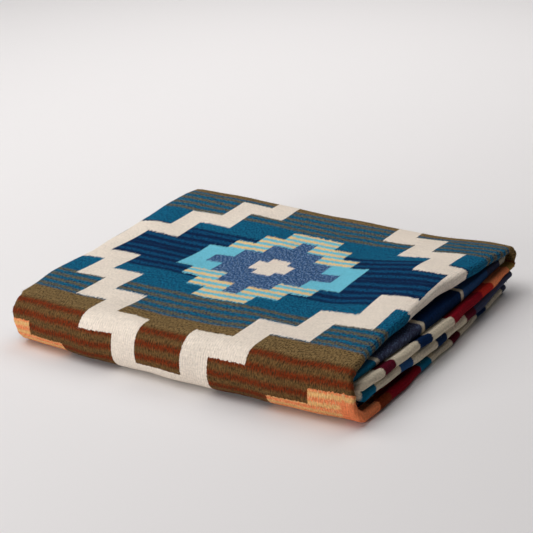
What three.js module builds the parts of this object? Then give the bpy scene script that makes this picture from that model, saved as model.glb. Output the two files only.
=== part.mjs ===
import * as THREE from 'three';

const { clamp, lerp, smoothstep, degToRad } = THREE.MathUtils;

// A brushed alpaca blanket folded into a flat bundle, in millimetres, +Z up, its long front fold at -Y.
// The cloth is folded across its width first: both selvedges come to the middle and the cloth closes
// like a book, into a strip of four plies with two hairpin folds on the right and one wide fold on the
// left. The strip is then folded in half along its length, and in half again, into four layers.

// Driving dimensions
const PLY = 3.3;             // thickness of the brushed cloth
const PLY_GAP = 0.9;         // air between the plies of one layer
const LAYER_GAP = 1.2;       // air between two layers of the strip
const FRONT_Y = -272;        // foremost line of the front fold
const BACK_Y = 272;          // rearmost line of the back fold
const BOTTOM_END_Y = 246;    // free end of the strip on the bottom layer
const LOWER_END_Y = 254;     // free end of the strip on the layer above it
const SELVEDGE_INSET = 9;    // how far inside the left fold the two selvedges stop
const FRONT_SQUARE = 2.5;    // how square the front fold's shoulder is; 2 would be a quarter circle
const FLAT_LIFT = 0.25;      // a lift smaller than this leaves the cloth flat on the surface
const HAIRPIN_NECK = 10;     // stretch over which the outer hairpin opens into its soft roll
const HAIRPIN_STEPS = 4;     // flat stretches round a fold of the section
const PLY_STOPS = [-200, -130, -60, 10, 75, 130, 175, 210];  // places along X where every ply may bend

// Sizes that follow from them
const PITCH = PLY + PLY_GAP;
const LAYER = 4 * PLY + 3 * PLY_GAP;
const LAYER_PITCH = LAYER + LAYER_GAP;
const STACK = 4 * LAYER + 3 * LAYER_GAP;
const [BOTTOM_Z, LOWER_Z, UPPER_Z, TOP_Z] = [0, 1, 2, 3].map((layer) => LAYER / 2 + layer * LAYER_PITCH);
const FRONT_TURN_Y = FRONT_Y + STACK / 2;
const BACK_TURN_Y = BACK_Y - (LAYER_PITCH + LAYER) / 2;
const BACK_TURN_Z = (TOP_Z + UPPER_Z) / 2;
const MIDDLE_Z = STACK / 2;
const WIDE_TURN = 1.5 * LAYER_PITCH;
const TIGHT_TURN = 0.5 * LAYER_PITCH;

// The strip from its lower free end to its upper one. A flat run has the y where it starts and ends and
// the height of its layer. A turn has its centre, radius, first and last angle in degrees, and whether
// the strip's outer side faces away from the centre (1) or towards it (-1).
const RUNS = [
  { steps: 7, from: BOTTOM_END_Y, to: FRONT_TURN_Y, z: BOTTOM_Z },
  { steps: 8, y: FRONT_TURN_Y, z: MIDDLE_Z, radius: WIDE_TURN, first: -90, last: -270, facing: 1 },
  { steps: 7, from: FRONT_TURN_Y, to: BACK_TURN_Y, z: TOP_Z },
  { steps: 6, y: BACK_TURN_Y, z: BACK_TURN_Z, radius: TIGHT_TURN, first: 90, last: -90, facing: 1 },
  { steps: 7, from: BACK_TURN_Y, to: FRONT_TURN_Y, z: UPPER_Z },
  { steps: 6, y: FRONT_TURN_Y, z: MIDDLE_Z, radius: TIGHT_TURN, first: 90, last: 270, facing: -1 },
  { steps: 7, from: FRONT_TURN_Y, to: LOWER_END_Y, z: LOWER_Z },
];

// How far each fold of the strip reaches along X. "at" counts the runs passed, so 2.5 is halfway along
// the top. outer and inner are the two hairpins, roll the radius of the outer one, left the wide fold.
const REACH = [
  { at: 0.0, outer: 266, inner: 246, roll: 4.0, left: -276 },
  { at: 0.5, outer: 274, inner: 254, roll: 4.8, left: -264 },
  { at: 1.0, outer: 276, inner: 256, roll: 4.8, left: -249 },
  { at: 1.5, outer: 268, inner: 252, roll: 3.6, left: -245 },
  { at: 2.0, outer: 257, inner: 240, roll: 4.4, left: -256 },
  { at: 2.2, outer: 249, inner: 231, roll: 5.4, left: -272 },
  { at: 2.5, outer: 252, inner: 231, roll: 5.6, left: -289 },
  { at: 2.8, outer: 264, inner: 244, roll: 5.2, left: -294 },
  { at: 3.0, outer: 271, inner: 255, roll: 4.2, left: -285 },
  { at: 3.5, outer: 276, inner: 262, roll: 3.0, left: -278 },
  { at: 4.0, outer: 276, inner: 262, roll: 3.2, left: -279 },
  { at: 4.5, outer: 276, inner: 261, roll: 4.0, left: -273 },
  { at: 4.9, outer: 270, inner: 255, roll: 4.2, left: -262 },
  { at: 5.5, outer: 263, inner: 250, roll: 2.6, left: -254 },
  { at: 6.0, outer: 268, inner: 250, roll: 4.4, left: -257 },
  { at: 6.5, outer: 277, inner: 257, roll: 6.0, left: -268 },
  { at: 7.0, outer: 278, inner: 259, roll: 4.6, left: -278 },
];

// Height of the stack, by place along X in rows and from front to back in columns.
const HEIGHT_COLUMNS = [{ y: -215, name: 'front' }, { y: 20, name: 'middle' }, { y: 235, name: 'back' }];
const STACK_HEIGHT = [
  { x: -280, front: 65, middle: 63, back: 74 },
  { x: -150, front: 69, middle: 64, back: 72 },
  { x: 0, front: 70, middle: 65, back: 68 },
  { x: 150, front: 72, middle: 64, back: 66 },
  { x: 280, front: 74, middle: 53, back: 57 },
];

// Foremost line of the bundle, pushed forward of a straight one, by place along X.
const FRONT_BOW = [
  { x: -280, push: 0 },
  { x: -80, push: 9 },
  { x: 120, push: 7 },
  { x: 280, push: 0 },
];

// Hollows at the right end, where a layer stands off the one under it, and the corners that curl up.
const HOLLOWS = [
  { lift: 24, x: 255, y: 60, reachX: 190, reachY: 300, under: UPPER_Z, over: TOP_Z },
  { lift: 6, x: 280, y: 50, reachX: 150, reachY: 250, under: LOWER_Z, over: UPPER_Z },
];
const CURLS = [
  { lift: 4, x: 285, y: 285, reachX: 170, reachY: 190 },
  { lift: 4, x: -285, y: -285, reachX: 170, reachY: 160 },
];

// Smooth value of one column of a table whose rows are ordered by a key column.
function between(rows, key, place, column) {
  const last = rows.length - 1;
  const spot = clamp(place, rows[0][key], rows[last][key]);
  const next = Math.max(rows.findIndex((row) => row[key] >= spot), 1);
  const [low, high] = [rows[next - 1], rows[next]];
  const span = high[key] - low[key];
  const slopeAt = (number) => {
    const [before, after] = [rows[Math.max(number - 1, 0)], rows[Math.min(number + 1, last)]];
    return span * (after[column] - before[column]) / (after[key] - before[key]);
  };
  const share = (spot - low[key]) / span;
  const ease = share * share * (3 - 2 * share);
  const swing = share * (1 - share) * ((1 - share) * slopeAt(next - 1) - share * slopeAt(next));
  return lerp(low[column], high[column], ease) + swing;
}

// 1 at the centre of a soft mound, 0 at its rim.
function mound(spot, x, y) {
  return 1 - smoothstep(Math.hypot((x - spot.x) / spot.reachX, (y - spot.y) / spot.reachY), 0, 1);
}

// Stations along the strip: the middle of its four plies, and the way its outer side faces.
function stripStations() {
  const stations = [];
  RUNS.forEach((run, number) => {
    const firstStep = number === 0 ? 0 : 1;
    for (let step = firstStep; step <= run.steps; step += 1) {
      const share = step / run.steps;
      if (run.radius) {
        const angle = degToRad(lerp(run.first, run.last, share));
        const [alongY, alongZ] = [Math.cos(angle), Math.sin(angle)];
        stations.push({
          at: number + share,
          y: run.y + run.radius * alongY,
          z: run.z + run.radius * alongZ,
          outY: run.facing * alongY,
          outZ: run.facing * alongZ,
        });
      } else {
        stations.push({
          at: number + share,
          y: lerp(run.from, run.to, share),
          z: run.z,
          outY: 0,
          outZ: Math.sign(run.to - run.from),
        });
      }
    }
  });
  return stations;
}

// Points of an arc, without its first one.
function arc(centre, radius, firstAngle, lastAngle) {
  return Array.from({ length: HAIRPIN_STEPS }, (_, step) => {
    const angle = degToRad(lerp(firstAngle, lastAngle, (step + 1) / HAIRPIN_STEPS));
    return new THREE.Vector2(Math.cos(angle), Math.sin(angle)).multiplyScalar(radius).add(centre);
  });
}

// Middle line of the cloth across the strip, as points (x, n), n being the way out from the strip's
// middle: selvedge, inner ply, outer hairpin, outer ply, wide left fold, and back by the inner hairpin.
function sectionLine({ outer, inner, roll, left }) {
  const point = (x, n) => new THREE.Vector2(x, n);
  const [nearPly, farPly] = [0.5 * PITCH, 1.5 * PITCH];
  const foldX = left + farPly + PLY / 2;
  const selvedgeX = foldX + SELVEDGE_INSET;
  const rollX = outer - roll - PLY / 2;
  const neckX = rollX - HAIRPIN_NECK;
  const hairpinX = inner - nearPly - PLY / 2;
  const rightwards = (n) => PLY_STOPS.map((x) => point(x, n));
  const leftwards = (n) => rightwards(n).reverse();
  return [
    point(selvedgeX, nearPly),
    ...rightwards(nearPly),
    point(neckX, nearPly),
    point(lerp(neckX, rollX, 0.5), lerp(nearPly, farPly - 2 * roll, 0.5)),
    point(rollX, farPly - 2 * roll),
    ...arc(point(rollX, farPly - roll), roll, -90, 90),
    ...leftwards(farPly),
    point(foldX, farPly),
    ...arc(point(foldX, 0), farPly, 90, 270),
    ...rightwards(-farPly),
    point(hairpinX, -farPly),
    ...arc(point(hairpinX, -PITCH), nearPly, -90, 90),
    ...leftwards(-nearPly),
    point(selvedgeX, -nearPly),
  ];
}

// Closed outline of the cloth across the strip: one side of the middle line, then the other one back.
function sectionOutline(line) {
  const sideways = line.map((_, number) => {
    const before = line[Math.max(number - 1, 0)];
    const after = line[Math.min(number + 1, line.length - 1)];
    const along = after.clone().sub(before).normalize();
    return new THREE.Vector2(-along.y, along.x).multiplyScalar(PLY / 2);
  });
  const faceSide = line.map((spot, number) => spot.clone().sub(sideways[number]));
  const backSide = line.map((spot, number) => spot.clone().add(sideways[number]));
  return [...faceSide, ...backSide.reverse()];
}

// The shoulder of the front fold is squarer than a quarter circle: this maps a point of the even stack
// outward there.
function squareShoulder(y, z) {
  const [ahead, up] = [FRONT_TURN_Y - y, z - MIDDLE_Z];
  if (ahead <= 0 || up <= 0) return [y, z];
  const far = Math.hypot(ahead, up);
  const grow = ((ahead / far) ** FRONT_SQUARE + (up / far) ** FRONT_SQUARE) ** (-1 / FRONT_SQUARE);
  return [FRONT_TURN_Y - ahead * grow, MIDDLE_Z + up * grow];
}

// The uneven shape that the bundle settles into: it maps a point of the even stack to its place.
function settle(x, evenY, evenZ) {
  const [y, z] = squareShoulder(evenY, evenZ);
  const columns = HEIGHT_COLUMNS.map((column) => ({
    y: column.y,
    height: between(STACK_HEIGHT, 'x', x, column.name),
  }));
  const loft = between(columns, 'y', y, 'height') / STACK;
  const raise = (sum, spot) => sum + spot.lift * mound(spot, x, y) * smoothstep(z, spot.under, spot.over);
  const hollow = HOLLOWS.reduce(raise, 0);
  const curl = CURLS.reduce((sum, spot) => sum + Math.max(spot.lift * mound(spot, x, y) - FLAT_LIFT, 0), 0);
  const forward = smoothstep(-y, -BACK_Y, -FRONT_Y) * between(FRONT_BOW, 'x', x, 'push');
  return [x, y - forward, z * loft + hollow + curl];
}

// The whole cloth as one closed solid: the section swept along the strip, with a cap at each free end.
function clothGeometry() {
  const positions = [];
  const triangles = [];
  const stations = stripStations();
  let ringSize = 0;
  stations.forEach((station, number) => {
    const reach = Object.fromEntries(
      ['outer', 'inner', 'roll', 'left'].map((column) => [column, between(REACH, 'at', station.at, column)]),
    );
    const outline = sectionOutline(sectionLine(reach));
    ringSize = outline.length;
    for (const { x, y: n } of outline) {
      positions.push(...settle(x, station.y + n * station.outY, station.z + n * station.outZ));
    }
    if (number === 0) return;
    const ring = number * ringSize;
    for (let spot = 0; spot < ringSize; spot += 1) {
      const next = (spot + 1) % ringSize;
      const [a, b, c, d] = [ring - ringSize + spot, ring + spot, ring + next, ring - ringSize + next];
      const forward = positions[3 * b + 1] - positions[3 * a + 1];
      const rightward = positions[3 * d] - positions[3 * a];
      triangles.push(...(forward * rightward > 0 ? [a, b, c, a, c, d] : [b, c, d, b, d, a]));
    }
  });
  const lastRing = (stations.length - 1) * ringSize;
  for (let spot = 0; spot < ringSize / 2 - 1; spot += 1) {
    const across = ringSize - 1 - spot;
    triangles.push(spot, spot + 1, across - 1, spot, across - 1, across);
    triangles.push(lastRing + spot, lastRing + across - 1, lastRing + spot + 1);
    triangles.push(lastRing + spot, lastRing + across, lastRing + across - 1);
  }
  const geometry = new THREE.BufferGeometry();
  geometry.setAttribute('position', new THREE.Float32BufferAttribute(positions, 3));
  geometry.setIndex(triangles);
  geometry.computeVertexNormals();
  return geometry;
}

// The bundle stands on the surface with its origin under the middle of its box.
function blanket() {
  const geometry = clothGeometry();
  geometry.computeBoundingBox();
  const { min, max } = geometry.boundingBox;
  geometry.translate(-(min.x + max.x) / 2, -(min.y + max.y) / 2, -min.z);
  const wool = new THREE.MeshStandardMaterial({ color: 0x1c4a66, roughness: 0.95, metalness: 0 });
  const cloth = new THREE.Mesh(geometry, wool);
  cloth.name = 'blanket';
  return cloth;
}

const bundle = new THREE.Group();
bundle.add(blanket());

export default bundle;
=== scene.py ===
import math

import bpy
import numpy as np
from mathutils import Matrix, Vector
from mathutils.bvhtree import BVHTree


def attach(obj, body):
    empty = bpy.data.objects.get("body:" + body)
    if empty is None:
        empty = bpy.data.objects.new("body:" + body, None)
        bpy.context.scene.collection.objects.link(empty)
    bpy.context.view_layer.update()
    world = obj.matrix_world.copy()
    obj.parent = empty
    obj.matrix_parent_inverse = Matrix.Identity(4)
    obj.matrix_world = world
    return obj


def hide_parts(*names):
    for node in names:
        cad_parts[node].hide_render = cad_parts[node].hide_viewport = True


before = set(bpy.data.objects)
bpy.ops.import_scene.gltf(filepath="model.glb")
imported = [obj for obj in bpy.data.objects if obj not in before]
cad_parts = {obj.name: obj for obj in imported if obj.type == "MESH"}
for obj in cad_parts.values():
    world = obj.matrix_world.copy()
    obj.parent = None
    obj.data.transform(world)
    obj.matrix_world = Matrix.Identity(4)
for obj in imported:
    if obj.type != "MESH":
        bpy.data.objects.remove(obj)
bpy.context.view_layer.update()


# The blanket's cloth: one wide length of alpaca, woven in two colours at a time and brushed on both
# sides. It is folded across its width into a strip of four plies, and the strip in half twice, into
# four layers. Nothing is sewn on: what shows are folds, two free ends and, inside, the selvedges.
PLY, PLY_GAP, LAYER_GAP = 0.0033, 0.0009, 0.0012
PITCH = PLY + PLY_GAP
LAYER = 4 * PITCH - PLY_GAP
LAYER_PITCH = LAYER + LAYER_GAP
STACK = 4 * LAYER_PITCH - LAYER_GAP
FRONT_Y, BACK_Y = -0.272, 0.272
BOTTOM_Z, LOWER_Z, UPPER_Z, TOP_Z = [LAYER / 2 + number * LAYER_PITCH for number in range(4)]
FRONT_TURN_Y = FRONT_Y + STACK / 2
BACK_TURN_Y = BACK_Y - (LAYER_PITCH + LAYER) / 2
CENTRE = (0.0080, 0.004636)
FRONT_SQUARE = 2.5    # how square the front fold's shoulder is; 2 would be a quarter circle
BOTTOM_END_Y, LOWER_END_Y = 0.246, 0.254
FLAT_LIFT = 0.00025    # a lift smaller than this leaves the cloth flat on the surface
SELVEDGE_GAP = 0.009    # how far the selvedges stop short of the wide fold
NECK = 0.010    # run over which a ply drops into the roll of the outer hairpin
WIDE_FOLD = 0.270    # the measure across the cloth starts at the wide fold, this far left of the middle

# A flat run: (steps, y it starts at, y it ends at, height). A turn: (steps, y and z of its centre, radius,
# first and last angle, and 1 where the strip's outer side faces away from the centre, or -1).
RUNS = [
    (40, BOTTOM_END_Y, FRONT_TURN_Y, BOTTOM_Z),
    (22, FRONT_TURN_Y, STACK / 2, 1.5 * LAYER_PITCH, -90, -270, 1),
    (40, FRONT_TURN_Y, BACK_TURN_Y, TOP_Z),
    (14, BACK_TURN_Y, (TOP_Z + UPPER_Z) / 2, 0.5 * LAYER_PITCH, 90, -90, 1),
    (40, BACK_TURN_Y, FRONT_TURN_Y, UPPER_Z),
    (12, FRONT_TURN_Y, STACK / 2, 0.5 * LAYER_PITCH, 90, 270, -1),
    (40, FRONT_TURN_Y, LOWER_END_Y, LOWER_Z),
]

# How far the folds of the strip reach along X, in mm, by runs passed: the outer hairpin, the inner one,
# the radius of the outer one's roll, and the wide left fold.
REACH = np.array([
    (0.0, 266, 246, 4.0, -276),
    (0.5, 274, 254, 4.8, -264),
    (1.0, 276, 256, 4.8, -244),
    (1.5, 268, 252, 3.6, -244),
    (2.0, 257, 240, 4.4, -253),
    (2.2, 249, 231, 5.4, -274),
    (2.5, 252, 231, 5.6, -292),
    (2.8, 264, 244, 5.2, -298),
    (2.93, 269, 251, 4.5, -296),
    (3.0, 268, 252, 4.2, -290),
    (3.15, 270, 255, 3.6, -279),
    (3.5, 271, 257, 3.0, -267),
    (4.0, 272, 258, 3.2, -272),
    (4.5, 276, 261, 4.0, -273),
    (4.9, 270, 255, 4.2, -262),
    (5.5, 263, 250, 2.6, -254),
    (6.0, 268, 250, 4.4, -257),
    (6.5, 275, 255, 6.0, -268),
    (7.0, 273, 254, 4.6, -278),
])

# Height of the stack in mm by place along X, at the front, the middle and the back.
HEIGHT_Y = [-0.215, 0.020, 0.235]
HEIGHT = np.array([
    (-280, 66, 63, 77),
    (-150, 69, 64, 73),
    (0, 70, 65, 68),
    (150, 72, 64, 65),
    (280, 74, 53, 59),
])
EDGE_DROP = 0.09    # share of the height that the left edge rolls down by, less at its two corners
FRONT_BOW = np.array([(-280, 0), (-80, 9), (120, 7), (280, 0)])    # how far the front fold bows out, in mm by x

# Soft mounds: (lift, x, y, reach along X, reach along Y). A hollow lifts the layers above it: it also has
# the heights of the layer under it and the one over it.
HOLLOWS = [
    (0.024, 0.255, 0.060, 0.190, 0.300, UPPER_Z, TOP_Z),
    (0.006, 0.280, 0.050, 0.150, 0.250, LOWER_Z, UPPER_Z),
]
CURLS = [(0.004, 0.285, 0.285, 0.170, 0.190), (0.002, -0.285, -0.285, 0.170, 0.160)]

# Main creases on the top: (x and y of its two ends, lift, half width), in mm; a trough has a minus lift.
CREASES = [
    (-250, -196, 120, -190, -1.6, 26),
    (-60, -150, 236, -168, 1.2, 30),
    (-262, 40, -60, 22, -1.5, 34),
    (60, 40, 240, 96, 1.4, 30),
    (-210, 205, 150, 214, -1.4, 24),
    (120, -90, 215, 20, -1.6, 26),
    (-170, -95, -20, -40, 1.1, 36),
    (-40, 110, 110, 165, -1.1, 30),
]


def along(rows, place, column):
    """Smooth value of one column of a table whose first column is ordered."""
    keys, values = rows[:, 0], rows[:, column]
    place = np.clip(place, keys[0], keys[-1])
    high = np.clip(np.searchsorted(keys, place), 1, len(keys) - 1)
    low = high - 1
    span = keys[high] - keys[low]
    before, after = np.maximum(np.arange(len(keys)) - 1, 0), np.minimum(np.arange(len(keys)) + 1, len(keys) - 1)
    slope = (values[after] - values[before]) / (keys[after] - keys[before])
    share = (place - keys[low]) / span
    ease = share * share * (3 - 2 * share)
    swing = share * (1 - share) * span * ((1 - share) * slope[low] - share * slope[high])
    return values[low] + (values[high] - values[low]) * ease + swing


def smooth(value, low, high):
    share = np.clip((value - low) / (high - low), 0, 1)
    return share * share * (3 - 2 * share)


def mound(spot, x, y):
    return spot[0] * (1 - smooth(np.hypot((x - spot[1]) / spot[3], (y - spot[2]) / spot[4]), 0, 1))


def crease(row, x, y):
    """Lift of one soft crease, which fades towards its two ends."""
    x0, y0, x1, y1, lift, half = [value / 1000 for value in row]
    length = math.hypot(x1 - x0, y1 - y0)
    run = ((x - x0) * (x1 - x0) + (y - y0) * (y1 - y0)) / length
    off = ((x - x0) * (y1 - y0) - (y - y0) * (x1 - x0)) / length
    ends = smooth(run, -0.4 * half, 0.3 * length) * (1 - smooth(run, 0.7 * length, length + 0.4 * half))
    return lift * ends * np.exp(-((off + 0.25 * half * np.sin(run / 0.05)) / half) ** 2)


def stations():
    """Middle of the strip's plies along it, the way its outer side faces, and the cloth's length so far."""
    rows, length = [], -(BOTTOM_END_Y - FRONT_TURN_Y) - math.pi * (1.5 * LAYER_PITCH + 1.5 * PITCH) + FRONT_TURN_Y
    for number, run in enumerate(RUNS):
        steps = run[0]
        for step in range(0 if number == 0 else 1, steps + 1):
            share = step / steps
            if len(run) == 4:
                _, start, end, z = run
                rows.append((number + share, start + (end - start) * share, z, 0, math.copysign(1, end - start)))
                reach = abs(end - start)
            else:
                _, y, z, radius, first, last, facing = run
                angle = math.radians(first + (last - first) * share)
                rows.append((
                    number + share, y + radius * math.cos(angle), z + radius * math.sin(angle),
                    facing * math.cos(angle), facing * math.sin(angle),
                ))
                reach = math.pi * (radius + (1.5 * PITCH if facing > 0 else 0))
            length += 0 if step == 0 else reach / steps
            rows[-1] += (length,)
    return rows


def section(outer, inner, roll, left):
    """Middle line of the cloth across the strip as (x, n), and how far each point is across the cloth."""
    near, far = 0.5 * PITCH, 1.5 * PITCH
    fold_x = left + far + PLY / 2
    selvedge_x = fold_x + SELVEDGE_GAP
    roll_x = outer - roll - PLY / 2
    neck_x = roll_x - NECK
    hairpin_x = inner - near - PLY / 2

    def ply(start, end, n):
        return [(x, n) for x in np.linspace(start, end, 41)]

    def turn(x, n, radius, first, last, steps):
        angles = np.radians(np.linspace(first, last, steps + 1)[1:])
        return [(x + radius * math.cos(angle), n + radius * math.sin(angle)) for angle in angles]

    neck = [
        (neck_x + NECK * share, near + (far - 2 * roll - near) * share * share * (3 - 2 * share))
        for share in (0.2, 0.4, 0.6, 0.8, 1.0)
    ]
    line = ply(selvedge_x, neck_x, near) + neck + turn(roll_x, far - roll, roll, -90, 90, 12)
    line += ply(roll_x, fold_x, far)[1:]
    end = len(line) - 1
    line += turn(fold_x, 0, far, 90, 270, 12) + ply(fold_x, hairpin_x, -far)[1:]
    line += turn(hairpin_x, -PITCH, near, -90, 90, 8) + ply(hairpin_x, selvedge_x, -near)[1:]
    line = np.array(line)
    run = np.concatenate([[0], np.cumsum(np.hypot(*np.diff(line, axis=0).T))])
    return line, run - run[end] - (fold_x + WIDE_FOLD)


def settle(points):
    """The uneven shape that the bundle settles into, from places in the even stack."""
    x, y, z = points.T
    ahead_y, up_z = np.maximum(FRONT_TURN_Y - y, 0), np.maximum(z - STACK / 2, 0)
    far = np.maximum(np.hypot(ahead_y, up_z), 1e-9)
    grow = ((ahead_y / far) ** FRONT_SQUARE + (up_z / far) ** FRONT_SQUARE + 1e-12) ** (-1 / FRONT_SQUARE)
    grow = np.where((ahead_y > 0) & (up_z > 0), grow - 1, 0)
    y, z = y - ahead_y * grow, z + up_z * grow
    columns = [along(HEIGHT, x * 1000, column) / 1000 for column in (1, 2, 3)]
    low = y < HEIGHT_Y[1]
    share = np.where(
        low, (y - HEIGHT_Y[0]) / (HEIGHT_Y[1] - HEIGHT_Y[0]), (y - HEIGHT_Y[1]) / (HEIGHT_Y[2] - HEIGHT_Y[1]),
    ).clip(0, 1)
    first, last = np.where(low, columns[0], columns[1]), np.where(low, columns[1], columns[2])
    slopes = [
        (columns[1] - columns[0]) / (HEIGHT_Y[1] - HEIGHT_Y[0]),
        (columns[2] - columns[0]) / (HEIGHT_Y[2] - HEIGHT_Y[0]),
        (columns[2] - columns[1]) / (HEIGHT_Y[2] - HEIGHT_Y[1]),
    ]
    span = np.where(low, HEIGHT_Y[1] - HEIGHT_Y[0], HEIGHT_Y[2] - HEIGHT_Y[1])
    slope_in, slope_out = np.where(low, slopes[0], slopes[1]), np.where(low, slopes[1], slopes[2])
    swing = share * (1 - share) * span * ((1 - share) * slope_in - share * slope_out)
    height = first + (last - first) * share * share * (3 - 2 * share) + swing
    left_edge = smooth(-x, 0.258, 0.300)
    corners = smooth(abs(y - 0.03), 0.06, 0.20)
    height *= 1 - EDGE_DROP * left_edge * (1 - 0.8 * corners)
    height += sum(crease(row, x, y) for row in CREASES)
    height += 0.0005 * np.sin(x / 0.017 + 3 * y) * np.sin(y / 0.021 + 1)
    height += 0.0006 * np.sin((x + 0.6 * y) / 0.034 + 2)
    lift = sum(np.maximum(mound(spot, x, y) - FLAT_LIFT, 0) for spot in CURLS)
    lift += sum(mound(spot, x, y) * smooth(z, spot[5], spot[6]) for spot in HOLLOWS)
    ahead = smooth(-y, -BACK_Y, -FRONT_Y)
    forward = ahead * along(FRONT_BOW, x * 1000, 1) / 1000
    forward += ahead ** 6 * (0.0012 * np.sin(x / 0.024 + z / 0.03) + 0.0008 * np.sin(x / 0.011 - z / 0.02 + 1))
    return np.stack([x + CENTRE[0], y - forward + CENTRE[1], z * height / STACK + lift], axis=1)


rings, cloth_places = [], []
for at, y, z, out_y, out_z, length in stations():
    outer, inner, roll, left = [float(along(REACH, at, column)) / 1000 for column in (1, 2, 3, 4)]
    outer += 0.0011 * math.sin(at * 17.0) + 0.0007 * math.sin(at * 41.0 + 1)
    left += 0.0012 * math.sin(at * 13.0 + 2) + 0.0006 * math.sin(at * 37.0)
    line, across = section(outer, inner, roll, left)
    run = np.gradient(line, axis=0)
    run /= np.linalg.norm(run, axis=1)[:, None]
    sideways = np.stack([-run[:, 1], run[:, 0]], axis=1) * PLY / 2
    outline = np.concatenate([line - sideways, (line + sideways)[::-1]])
    ring = np.stack([outline[:, 0], y + outline[:, 1] * out_y, z + outline[:, 1] * out_z], axis=1)
    rings.append(settle(ring))
    cloth_places.append(np.stack([np.concatenate([across, across[::-1]]), np.full(len(outline), length)], axis=1))

# A second map lays the whole skin of the cloth out flat, and the sides that show are drawn larger.
# Round the section (points, scale): a ply inside, the outer hairpin with its face and the wide fold, the other
# face and hairpin, the second ply inside, and the cloth's inner side. Then each run.
SECTION_SCALE = [(46, 0.35), (64, 4.0), (48, 1.5), (40, 0.35), (198, 0.25)]
RUN_SCALE = [1.2, 3.0, 3.0, 2.0, 0.8, 0.8, 0.8]
MAP_EDGE, END_BAND = 0.010, 0.007    # margin for the two free ends' edges, and the height they take up in it
grid = np.array(rings)
ring_size = grid.shape[1]
stretch = np.linalg.norm(np.roll(grid, -1, axis=1) - grid, axis=2).mean(axis=0)
stretch *= np.concatenate([np.full(count, scale) for count, scale in SECTION_SCALE])
step_length = np.linalg.norm(np.diff(grid, axis=0), axis=2).mean(axis=1)
step_length *= np.repeat(RUN_SCALE, [run[0] for run in RUNS])
map_u = np.concatenate([[0], np.cumsum(stretch)]) / stretch.sum()
map_v = MAP_EDGE + (1 - 2 * MAP_EDGE) * np.concatenate([[0], np.cumsum(step_length)]) / step_length.sum()

faces, skin_places = [], []
for number in range(1, len(rings)):
    here, before = number * ring_size, (number - 1) * ring_size
    for spot in range(ring_size):
        after = (spot + 1) % ring_size
        faces.append((before + spot, here + spot, here + after, before + after))
        u0, u1, v0, v1 = map_u[spot], map_u[spot + 1], map_v[number - 1], map_v[number]
        skin_places += [(u0, v0), (u0, v1), (u1, v1), (u1, v0)]
last_ring = (len(rings) - 1) * ring_size
for spot in range(ring_size // 2 - 1):
    across = ring_size - 1 - spot
    faces.append((spot, spot + 1, across - 1, across))
    faces.append((last_ring + spot, last_ring + across, last_ring + across - 1, last_ring + spot + 1))
    u0, u1 = 2 * spot / ring_size, 2 * (spot + 1) / ring_size
    skin_places += [(u0, 0.0), (u1, 0.0), (u1, END_BAND), (u0, END_BAND)]
    skin_places += [(u0, 1 - END_BAND), (u0, 1.0), (u1, 1.0), (u1, 1 - END_BAND)]

points, places = np.concatenate(rings), np.concatenate(cloth_places)
mesh = bpy.data.meshes.new("blanket_cloth")
mesh.from_pydata(points.tolist(), [], faces)
corners = np.empty(len(mesh.loops), dtype=np.int32)
mesh.loops.foreach_get("vertex_index", corners)
mesh.uv_layers.new(name="cloth").data.foreach_set("uv", places[corners].ravel())
mesh.uv_layers.new(name="OFBake").data.foreach_set("uv", np.array(skin_places).ravel())
mesh.shade_smooth()
mesh.validate()
cloth = bpy.data.objects.new("blanket_cloth", mesh)
bpy.context.collection.objects.link(cloth)


class Yarn:
    """One socket of a finish. Sums on it add Math nodes, and any other node is spun from it."""

    def __init__(self, tree, socket=None):
        self.tree, self.socket = tree, socket

    def spin(self, kind, settings, sockets, out=0):
        node = self.tree.nodes.new("ShaderNode" + kind)
        for name, value in settings.items():
            setattr(node, name, value)
        for name, value in sockets.items():
            if isinstance(value, Yarn):
                self.tree.links.new(value.socket, node.inputs[name])
            else:
                node.inputs[name].default_value = value
        return Yarn(self.tree, node.outputs[out])

    def sum(self, operation, *values):
        return self.spin("Math", {"operation": operation}, dict(enumerate(values)))

    def __add__(self, other):
        return self.sum("ADD", self, other)

    def __sub__(self, other):
        return self.sum("SUBTRACT", self, other)

    def __mul__(self, other):
        return self.sum("MULTIPLY", self, other)

    def __truediv__(self, other):
        return self.sum("DIVIDE", self, other)

    def __mod__(self, other):
        return self.sum("FLOORED_MODULO", self, other)

    def __radd__(self, other):
        return self.sum("ADD", other, self)

    def __rsub__(self, other):
        return self.sum("SUBTRACT", other, self)

    def __rmul__(self, other):
        return self.sum("MULTIPLY", other, self)

    def __rtruediv__(self, other):
        return self.sum("DIVIDE", other, self)

    def __abs__(self):
        return self.sum("ABSOLUTE", self)

    def floor(self):
        return self.sum("FLOOR", self)

    def over(self, level, soft):
        """0 below a level, 1 above it, over a soft edge."""
        return self.spin(
            "MapRange", {"interpolation_type": "SMOOTHSTEP"},
            {"Value": self, "From Min": level - soft, "From Max": level + soft},
        )

    def level(self, low, high):
        """One number where this is 0, another where it is 1."""
        return self.spin("Mix", {}, {0: self, 2: low, 3: high})

    def blend(self, ground, figure):
        """One colour where this is 0, another where it is 1."""
        return self.spin("Mix", {"data_type": "RGBA"}, {0: self, 6: ground, 7: figure}, out=2)

    def shaded(self, grey):
        multiply = {"data_type": "RGBA", "blend_type": "MULTIPLY"}
        return self.spin("Mix", multiply, {0: 1.0, 6: self, 7: grey}, out=2)


def dye(red, green, blue):
    """Linear colour of a yarn from its red, green and blue out of 255."""
    parts = [part / 255 for part in (red, green, blue)]
    return [part / 12.92 if part < 0.04045 else ((part + 0.055) / 1.055) ** 2.4 for part in parts] + [1]


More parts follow.
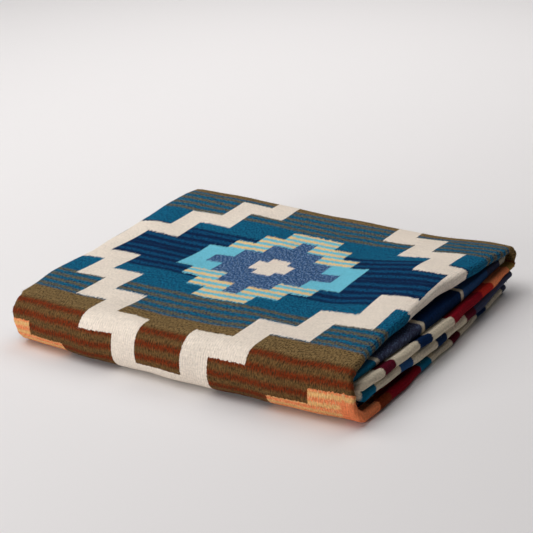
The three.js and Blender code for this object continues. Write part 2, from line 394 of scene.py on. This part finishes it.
CREAM, NAVY, INK = dye(232, 220, 206), dye(8, 35, 72), dye(4, 20, 46)
DEEP_TEAL, TEAL, CYAN = dye(10, 77, 118), dye(16, 98, 132), dye(110, 191, 212)
OLIVE, MOSS, GOLD, STRAW = dye(128, 104, 67), dye(104, 98, 72), dye(150, 118, 62), dye(230, 198, 144)
UMBER, RUST, ORANGE, PEACH = dye(62, 49, 31), dye(114, 46, 21), dye(228, 130, 84), dye(222, 170, 108)
RED, CRIMSON, MAROON, BARK = dye(176, 40, 30), dye(122, 10, 26), dye(84, 12, 32), dye(106, 78, 46)
# The linen yarn is the cloth's beige cream, dyed darker than it is to paint the shade that falls on the hairpins
# and the inside at the right end.
DENIM, PALE_DENIM, SLATE, SHADED_LINEN = dye(38, 74, 120), dye(118, 144, 176), dye(58, 62, 86), dye(206, 194, 172)

# Spacing along the cloth: the middle of the top, the weft stripes out from it, where they grow closer and by
# what share, the fine stripes of the medallion and of the corners, and an even beat of blocks with its pale
# part. Last, the spacing of the yarns themselves.
MIDDLE = 0.018
STRIPE_PITCH, STRIPE_START = 0.020, 0.0155
CLOSER_FROM, CLOSER = 0.266, 0.21
MEDALLION_PITCH, CORNER_PITCH = 0.0175, 0.0115
BEAT, PALE_PART = 0.104, 0.070
WARP_PITCH, WEFT_PITCH = 0.0034, 0.0030

# The repeat of stepped diamonds: half its width and length, its middle along the cloth, and half the width of
# its outline. Then the steps, treads and rises of the medallion, the orange corners and the heart.
HALF_WIDE, HALF_LONG, REPEAT_MIDDLE, OUTLINE = 0.2675, 0.335, 0.015, 0.019
MEDALLION, CORNER, HEART = (4, 0.0300, 0.0330), (2, 0.0560, 0.0190), (2, 0.0150, 0.0160)
INSIDE_FROM = 0.030    # across the cloth, where the half that is folded to the inside starts
HAIRPIN_MIDDLE, HAIRPIN_HALF, HAIRPIN_FROM = -0.547, 0.026, 0.292    # the outer hairpin on the cloth

# Weft bands outward from the middle of the top: (metres from it, yarn, stripe, fleck, how heathered).
BANDS = [
    (0.000, NAVY, DEEP_TEAL, INK, 0.9),
    (0.088, TEAL, TEAL, NAVY, 1.0),
    (0.147, TEAL, MOSS, NAVY, 1.1),
    (0.226, OLIVE, OLIVE, UMBER, 1.15),
    (0.266, BARK, RUST, UMBER, 1.0),
    (0.362, ORANGE, PEACH, STRAW, 0.6),
    (0.410, RED, ORANGE, CRIMSON, 0.5),
    (0.450, CRIMSON, CRIMSON, MAROON, 0.4),
    (0.580, NAVY, DEEP_TEAL, INK, 0.3),
]


def blocks_from(start, count):
    """An even run of blocks along the cloth, linen cream with painted shade in turn with one dark yarn after
    another.
    """
    dark = [NAVY, MAROON, TEAL, DENIM]
    beats = [(start + BEAT * number, dark[number % len(dark)]) for number in range(count)]
    return [block for at, yarn in beats for block in ((at, SHADED_LINEN), (at + PALE_PART, yarn))]


# Bands and blocks along the outer hairpin, where it shows at the right end: (metres along the cloth, yarn). Its
# linen blocks are darkened with painted shade.
HAIRPIN = [(-0.900, SLATE)] + blocks_from(-0.804, 3) + [
    (-0.492, CRIMSON), (-0.397, RUST), (-0.366, ORANGE), (0.000, GOLD), (0.318, ORANGE), (0.390, RED),
    (0.430, CRIMSON),
] + blocks_from(0.540, 6) + [(1.164, SLATE)]

# Bands of the half that is folded to the inside: (metres along the cloth, yarn, fleck). Its linen is darkened with
# painted shade.
INSIDE = [
    (-0.900, NAVY, INK), (-0.360, INK, SLATE), (-0.120, NAVY, INK), (0.140, SLATE, INK), (0.262, SHADED_LINEN, SHADED_LINEN),
    (0.322, SLATE, INK), (0.372, DENIM, SLATE), (0.470, SHADED_LINEN, SHADED_LINEN), (0.479, NAVY, INK), (0.600, SHADED_LINEN, SHADED_LINEN),
    (0.609, SLATE, PALE_DENIM), (0.730, SHADED_LINEN, SHADED_LINEN), (0.739, TEAL, DEEP_TEAL), (0.900, NAVY, INK),
]


def brushed_alpaca():
    material = bpy.data.materials.new("brushed_alpaca")
    material.use_nodes = True
    tree = material.node_tree
    shader = tree.nodes["Principled BSDF"]
    yarn = Yarn(tree)
    place = yarn.spin("UVMap", {"uv_map": "cloth"}, {})
    across = yarn.spin("SeparateXYZ", {}, {0: place}, out=0)
    length = yarn.spin("SeparateXYZ", {}, {0: place}, out=1)

    def noise(fine_across, fine_along, detail=1.0, seed=0.0):
        spot = yarn.spin("CombineXYZ", {}, {0: across / fine_across, 1: length / fine_along + seed})
        return yarn.spin(
            "TexNoise", {"noise_dimensions": "2D"},
            {"Vector": spot, "Scale": 1.0, "Detail": detail, "Roughness": 0.6},
        )

    strand = noise(0.0011, 0.014, 1.0) - 0.5
    lock = noise(0.0034, 0.030, 1.0, 5.0) - 0.5
    drift = noise(0.070, 0.090, 1.0, 7.0) - 0.5
    feather = 1 - 0.8 * abs(length).over(0.235, 0.030)
    pick_line = length + strand * feather * 0.0110 + lock * 0.003 + drift * 0.005
    w = length + strand * feather * 0.0150 + lock * 0.003 + drift * 0.005
    u = across + (noise(0.006, 0.0024, 1.0, 3.0) - 0.5) * 0.0020

    distance = abs(pick_line - MIDDLE)
    wisp = noise(0.0024, 0.0040, 2.0, 83.0) - 0.5
    closer = yarn.sum("MAXIMUM", distance - CLOSER_FROM, 0.0) * CLOSER
    beat = (distance - STRIPE_START + closer) / STRIPE_PITCH
    stripe = (abs(beat % 1.0 - 0.5) + wisp * 0.22).over(0.265, 0.19)
    _, ground, line, fleck, heather = BANDS[0]
    field = stripe.blend(ground, line)

    def weave(mask, colour, speck, mixed):
        """Weaves in a colour, its fleck and how heathered it is, where the mask is 1."""
        nonlocal field, fleck, heather
        field, fleck, heather = mask.blend(field, colour), mask.blend(fleck, speck), mask.level(heather, mixed)

    for start, ground, line, speck, mixed in BANDS[1:]:
        weave(distance.over(start, 0.004), stripe.blend(ground, line), speck, mixed)

    inside = u.over(INSIDE_FROM, 0.002)
    inner, inner_fleck = field, fleck
    for start, ground, speck in INSIDE:
        there = w.over(start, 0.002)
        inner, inner_fleck = there.blend(inner, ground), there.blend(inner_fleck, speck)
    weave(inside, inner, inner_fleck, 0.4)

    outside = 1 - inside
    p = abs((u + 2 * HALF_WIDE) % (2 * HALF_WIDE) - HALF_WIDE)
    q = abs((w - REPEAT_MIDDLE + 3 * HALF_LONG) % (2 * HALF_LONG) - HALF_LONG)

    def stepped(count, tread, rise, grow=0.0, wide=p, long=q):
        """1 inside a stepped diamond of so many treads and rises, let out by a little."""
        treads = (yarn.sum("MAXIMUM", wide - grow, 0.0) / tread).floor()
        rises = (yarn.sum("MAXIMUM", long - grow, 0.0) / rise).floor()
        return yarn.sum("LESS_THAN", treads + rises, count - 0.5)

    medallion_stripe = abs((pick_line / MEDALLION_PITCH) % 1.0 - 0.5).over(0.25, 0.05)
    gleam = (1 - q.over(0.050, 0.001)).blend(medallion_stripe.blend(CYAN, STRAW), CYAN)
    weave(stepped(*MEDALLION, 0.012) * outside, gleam, gleam, 0.35)
    weave(stepped(*MEDALLION, -0.018) * outside, DENIM, PALE_DENIM, 1.5)

    corner_stripe = (abs((pick_line / CORNER_PITCH) % 1.0 - 0.5) + wisp * 0.3).over(0.25, 0.15)
    corner = stepped(*CORNER, 0.0, HALF_WIDE - p, HALF_LONG - q) * outside
    weave(corner, corner_stripe.blend(ORANGE, PEACH), STRAW, 0.6)

    lattice = 5, HALF_WIDE / 5, HALF_LONG / 5
    outline = stepped(*lattice, OUTLINE) * (1 - stepped(*lattice, -OUTLINE))
    weave(yarn.sum("MAXIMUM", outline, stepped(*HEART)) * outside, CREAM, CREAM, 0.30)

    edge = (1 - abs(u - HAIRPIN_MIDDLE).over(HAIRPIN_HALF, 0.002)) * abs(w).over(HAIRPIN_FROM, 0.004)
    blocks = field
    for start, ground in HAIRPIN:
        blocks = w.over(start, 0.002).blend(blocks, ground)
    weave(edge, blocks, blocks, 0.35)

    speckle = noise(0.0017, 0.0046, 2.0, 11.0).over(0.57, 0.08) * heather
    grain = noise(0.0017, 0.0044, 2.0, 43.0) - 0.5
    slub = noise(0.0160, 0.0028, 2.0, 61.0) - 0.5
    nap = noise(0.0014, 0.0040, 3.0, 19.0)
    tuft = noise(0.0060, 0.0080, 2.0, 31.0)
    cloud = noise(0.055, 0.060, 2.0, 23.0)
    rib = yarn.sum("SINE", across * (2 * math.pi / WARP_PITCH))
    pick = yarn.sum("SINE", length * (2 * math.pi / WEFT_PITCH))
    grey = 0.72 + nap * 0.38 + tuft * 0.14 + (cloud - 0.5) * 0.14 + rib * 0.045 + pick * 0.020
    grey = grey + grain * heather * 1.5 + slub * (0.12 + heather * 0.22)
    tone = yarn.spin("CombineColor", {}, {0: grey, 1: grey, 2: grey})
    colour = (speckle * 0.85).blend(field, fleck).shaded(tone)
    tree.links.new(colour.socket, shader.inputs["Base Color"])

    relief = nap * 0.0010 + tuft * 0.0010 + rib * 0.00010 + pick * 0.00007
    bump = yarn.spin("Bump", {}, {"Strength": 0.8, "Distance": 1.0, "Height": relief})
    tree.links.new(bump.socket, shader.inputs["Normal"])
    tree.links.new((0.88 + nap * 0.12).socket, shader.inputs["Roughness"])
    shader.inputs["Specular IOR Level"].default_value = 0.03
    shader.inputs["Sheen Weight"].default_value = 0.02
    shader.inputs["Sheen Roughness"].default_value = 0.4
    return material


cloth.data.materials.append(brushed_alpaca())
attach(cloth, "root")
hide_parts("blanket")


# The nap: loose fibres of the same yarn, which brushing raised out of the cloth's faces. Each is a few
# millimetres long, grows out of the cloth, and leans along it, so that the folds have a soft rim.
FIBRES = 46000
FIBRE_LENGTH, FIBRE_WIDTH = (0.0022, 0.0058), 0.00011
ROOT_DEPTH = 0.0004
LOWEST_ROOT, LOWEST_TIP = 0.005, 0.001
OPEN_AIR = 0.020    # free space in front of a face that brushing could reach
chance = np.random.default_rng(5)

shell = BVHTree.FromPolygons([Vector(point) for point in points], faces)
quads = np.array(faces)
corner_points, corner_places = points[quads], places[quads]
along_cloth = corner_points[:, 1] + corner_points[:, 2] - corner_points[:, 0] - corner_points[:, 3]
across_cloth = corner_points[:, 3] + corner_points[:, 2] - corner_points[:, 0] - corner_points[:, 1]
facing = np.cross(along_cloth, across_cloth)
patch = np.linalg.norm(facing, axis=1) / 4
facing /= np.maximum(4 * patch, 1e-12)[:, None]
middle = corner_points.mean(axis=1)
open_air = np.array([
    spot[2] > LOWEST_ROOT and way[2] > -0.5
    and shell.ray_cast(Vector(spot + way * 0.0006), Vector(way), OPEN_AIR)[0] is None
    for spot, way in zip(middle, facing)
])
chosen = chance.choice(len(quads), FIBRES, p=patch * open_air / (patch * open_air).sum())
s, t = chance.random((2, FIBRES, 1))
share = np.stack([(1 - s) * (1 - t), s * (1 - t), s * t, (1 - s) * t], axis=1)
root = (corner_points[chosen] * share).sum(axis=1)
root_place = (corner_places[chosen] * share).sum(axis=1)


def unit(rows):
    return rows / np.maximum(np.linalg.norm(rows, axis=1), 1e-9)[:, None]


turn = (chance.normal(0, 0.8, FIBRES) + math.pi * chance.integers(0, 2, FIBRES))[:, None]
rise = np.radians(8 + 34 * chance.random(FIBRES) ** 2)[:, None]
lean = unit(along_cloth)[chosen] * np.cos(turn) + unit(across_cloth)[chosen] * np.sin(turn)
way = unit(lean * np.cos(rise) + facing[chosen] * np.sin(rise))
side = unit(np.cross(way, facing[chosen]))
under = np.cross(way, side)
reach = FIBRE_LENGTH[0] + (FIBRE_LENGTH[1] - FIBRE_LENGTH[0]) * chance.random((FIBRES, 1)) ** 2
tip = root + way * reach
tip[:, 2] = np.maximum(tip[:, 2], LOWEST_TIP)
foot = root - facing[chosen] * ROOT_DEPTH
third = math.radians(120)
ring = [foot + FIBRE_WIDTH * (side * math.cos(third * step) + under * math.sin(third * step)) for step in range(3)]
fibre_points = np.stack(ring + [tip], axis=1).reshape(-1, 3)
first = 4 * np.arange(FIBRES)[:, None, None]
fibre_faces = (first + np.array([(0, 1, 3), (1, 2, 3), (2, 0, 3), (0, 2, 1)])).reshape(-1, 3)
nap_mesh = bpy.data.meshes.new("blanket_nap")
nap_mesh.from_pydata(fibre_points.tolist(), [], fibre_faces.tolist())
nap_corners = np.empty(len(nap_mesh.loops), dtype=np.int32)
nap_mesh.loops.foreach_get("vertex_index", nap_corners)
nap_mesh.uv_layers.new(name="cloth").data.foreach_set("uv", root_place[nap_corners // 4].ravel())

# In the second flat map, each fibre has a cell of its own.
row_size = math.ceil(math.sqrt(FIBRES))
spot = np.stack([np.arange(FIBRES) % row_size, np.arange(FIBRES) // row_size], axis=1)
fibre_places = (spot[:, None] + [(0.12, 0.12), (0.88, 0.12), (0.5, 0.88)]) / row_size
nap_mesh.uv_layers.new(name="OFBake").data.foreach_set("uv", np.repeat(fibre_places, 4, axis=0).ravel())
nap_mesh.shade_smooth()
nap = bpy.data.objects.new("blanket_nap", nap_mesh)
bpy.context.collection.objects.link(nap)
nap_mesh.materials.append(cloth.data.materials[0])
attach(nap, "root")


# The surface it lies on: a plain pale sheet of studio paper, a little uneven in tone.
FLOOR = 6
floor_mesh = bpy.data.meshes.new("floor")
floor_corners = [(-FLOOR, -FLOOR, 0), (FLOOR, -FLOOR, 0), (FLOOR, FLOOR, 0), (-FLOOR, FLOOR, 0)]
floor_mesh.from_pydata(floor_corners, [], [(0, 1, 2, 3)])
floor = bpy.data.objects.new("floor", floor_mesh)
bpy.context.collection.objects.link(floor)
paper = bpy.data.materials.new("studio_paper")
paper.use_nodes = True
paper_shader = paper.node_tree.nodes["Principled BSDF"]
tone = Yarn(paper.node_tree).spin("TexNoise", {}, {"Scale": 1.3, "Detail": 2.0})
paper_colour = tone.blend(dye(231, 229, 230), dye(235, 233, 233))
paper.node_tree.links.new(paper_colour.socket, paper_shader.inputs["Base Color"])
paper_shader.inputs["Roughness"].default_value = 0.9
paper_shader.inputs["Specular IOR Level"].default_value = 0.1
floor_mesh.materials.append(paper)


# Soft studio light: a dim even room, a large soft lamp high on the left, a smaller one low in front, and
# two behind, which light the paper.
scene = bpy.context.scene
scene.view_settings.view_transform = "Standard"
room = bpy.data.worlds.new("room")
scene.world = room
room.use_nodes = True
room_light = room.node_tree.nodes["Background"]
room_light.inputs["Color"].default_value = (1.0, 0.985, 0.97, 1)
room_light.inputs["Strength"].default_value = 0.09


def lamp(name, place, aim, size, power, spread=180):
    """A square soft lamp: metres, watts and the angle of its spread in degrees."""
    light = bpy.data.lights.new(name, "AREA")
    light.energy, light.size, light.spread = power, size, math.radians(spread)
    light.color = (1.0, 0.985, 0.975)
    holder = bpy.data.objects.new(name, light)
    holder.location = place
    holder.rotation_euler = (Vector(place) - Vector(aim)).to_track_quat("Z", "Y").to_euler()
    bpy.context.collection.objects.link(holder)


lamp("over", (-1.15, -0.7, 2.5), (0, 0.1, 0.05), 2.5, 58)
lamp("low", (-1.0, -3.0, 0.6), (0.0, -0.2, 0.05), 0.9, 42)
lamp("behind", (-0.2, 2.6, 3.6), (0.0, 1.0, 0.0), 2.6, 50)
lamp("far", (-1.3, 1.6, 3.2), (-1.5, 3.0, 0.0), 2.4, 26, 120)


# The camera, at the photograph's place and framing: the way it looks from, its focal length, the picture's
# size and its optical centre in pixels, and the point that it looks at with the distance to it.
azimuth, elevation = math.radians(30.055), math.radians(20.322)
FOCAL, PICTURE, OPTICAL_CENTRE = 1332.99, 533, (261.3, 268.3)
TARGET, DISTANCE = (-0.00245, 0.00014, 0.068), 1.89625
back = Vector((
    math.sin(azimuth) * math.cos(elevation), -math.cos(azimuth) * math.cos(elevation), math.sin(elevation),
))
lens = bpy.data.cameras.new("camera")
lens.sensor_width = 36
lens.lens = FOCAL * lens.sensor_width / PICTURE
lens.shift_x = (PICTURE / 2 - OPTICAL_CENTRE[0]) / PICTURE
lens.shift_y = (OPTICAL_CENTRE[1] - PICTURE / 2) / PICTURE
lens.clip_end = 50
camera = bpy.data.objects.new("camera", lens)
camera.location = Vector(TARGET) + back * DISTANCE
camera.rotation_euler = back.to_track_quat("Z", "Y").to_euler()
bpy.context.collection.objects.link(camera)
scene.camera = camera
